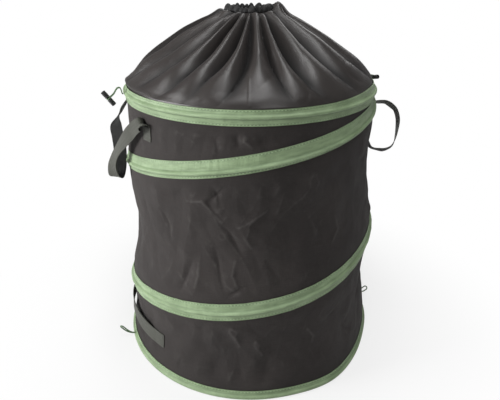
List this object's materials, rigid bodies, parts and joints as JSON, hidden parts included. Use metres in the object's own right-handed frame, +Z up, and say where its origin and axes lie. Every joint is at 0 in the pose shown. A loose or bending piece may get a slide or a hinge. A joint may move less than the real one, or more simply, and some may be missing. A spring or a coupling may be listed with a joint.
{
  "type": "pop up leaf bag",
  "caption": "Free-standing spring-coil fabric bag with a drawcord skirt over its mouth, webbing handles, and toggles and loops that hold it folded flat.",
  "frame": {"origin": "centre of the flat underside, on the ground", "axes": "+Z up along the drum's axis; -Y is the front, where the spiral tapes show lowest; the pair of handles sits near -X and +X"},
  "size_m": [0.598, 0.5062, 0.6737],
  "materials": {
    "wall_cloth": "creased non-woven cloth",
    "skirt_cloth": "thin smooth lining cloth with a slight sheen",
    "hem_cloth": "gathered cloth",
    "casing_tape": "satin binding tape, stitched",
    "webbing": "woven polypropylene webbing",
    "spring_steel": "plain spring wire",
    "black_cord": "braided cord",
    "green_cord": "covered elastic and cord",
    "toggle_plastic": "moulded, ribbed"
  },
  "bodies": {
    "drum": {"base_panel": "wall_cloth", "wall_fabric": "wall_cloth", "spiral_tape": "casing_tape", "bottom_tape": "casing_tape", "spring_wire": "spring_steel", "lower_ferrule": "spring_steel", "lower_handle": "webbing"},
    "top_ring": {"top_tape": "casing_tape", "skirt": "skirt_cloth", "upper_ferrule": "spring_steel"},
    "mouth": {"mouth_hem": "hem_cloth", "drawcord": "black_cord"},
    "left_seams": {"left_handle_front_end": "webbing", "left_handle_back_end": "webbing"},
    "right_seams": {"right_handle_front_end": "webbing", "right_handle_back_end": "webbing"},
    "left_handle": {"left_handle": "webbing"},
    "right_handle": {"right_handle": "webbing"},
    "left_toggle": {"left_toggle": "toggle_plastic", "left_toggle_cord": "green_cord"},
    "right_toggle": {"right_toggle": "toggle_plastic", "right_toggle_cord": "green_cord"},
    "left_elastic": {"left_elastic_loop": "green_cord"},
    "right_elastic": {"right_elastic_loop": "green_cord"}
  },
  "joints": [
    {"name": "collapse", "type": "slide", "parent": "drum", "child": "top_ring", "axis": [0, 0, 1], "range_m": [-0.43, 0], "stiffness_N_per_m": 60, "springref_m": 0.15, "deforming": ["wall_fabric", "spiral_tape", "spring_wire", "lower_handle", "left_elastic_loop"]},
    {"name": "skirt_fold", "type": "slide", "parent": "top_ring", "child": "mouth", "axis": [0, 0, 1], "range_m": [-0.12, 0], "deforming": ["skirt"]},
    {"name": "left_seams_lower", "type": "slide", "parent": "drum", "child": "left_seams", "axis": [0, 0, 1], "range_m": [-0.4287, 0]},
    {"name": "right_seams_lower", "type": "slide", "parent": "drum", "child": "right_seams", "axis": [0, 0, 1], "range_m": [-0.4287, 0]},
    {"name": "left_handle_swing", "type": "hinge", "parent": "left_seams", "child": "left_handle", "pos_m": [-0.21491, -0.07823, 0.4785], "axis": [-0.342, 0.9397, 0], "range_deg": [0, 30]},
    {"name": "right_handle_swing", "type": "hinge", "parent": "right_seams", "child": "right_handle", "pos_m": [0.20312, 0.10771, 0.4785], "axis": [0.4695, -0.8829, 0], "range_deg": [0, 40]},
    {"name": "left_toggle_swing", "type": "hinge", "parent": "top_ring", "child": "left_toggle", "pos_m": [-0.2384, -0.08677, 0.513], "axis": [-0.342, 0.9397, 0], "range_deg": [-20, 30], "stiffness_Nm_per_rad": 0.01, "springref_deg": 2.86},
    {"name": "right_toggle_swing", "type": "hinge", "parent": "top_ring", "child": "right_toggle", "pos_m": [0.24816, 0.05275, 0.513], "axis": [0.2079, -0.9781, 0], "range_deg": [-15, 30], "stiffness_Nm_per_rad": 0.01, "springref_deg": 2.86},
    {"name": "left_elastic_swing", "type": "hinge", "parent": "drum", "child": "left_elastic", "pos_m": [-0.23812, -0.08667, 0.0085], "axis": [-0.342, 0.9397, 0], "range_deg": [0, 60], "stiffness_Nm_per_rad": 0.002},
    {"name": "right_elastic_swing", "type": "hinge", "parent": "drum", "child": "right_elastic", "pos_m": [0.24874, 0.05287, 0.0085], "axis": [0.2079, -0.9781, 0], "range_deg": [0, 60], "stiffness_Nm_per_rad": 0.002}
  ],
  "couplings": [
    {"joint": "skirt_fold", "follows": "collapse", "ratio": 0.279},
    {"joint": "left_seams_lower", "follows": "collapse", "ratio": 0.99698},
    {"joint": "right_seams_lower", "follows": "collapse", "ratio": 0.99698}
  ]
}
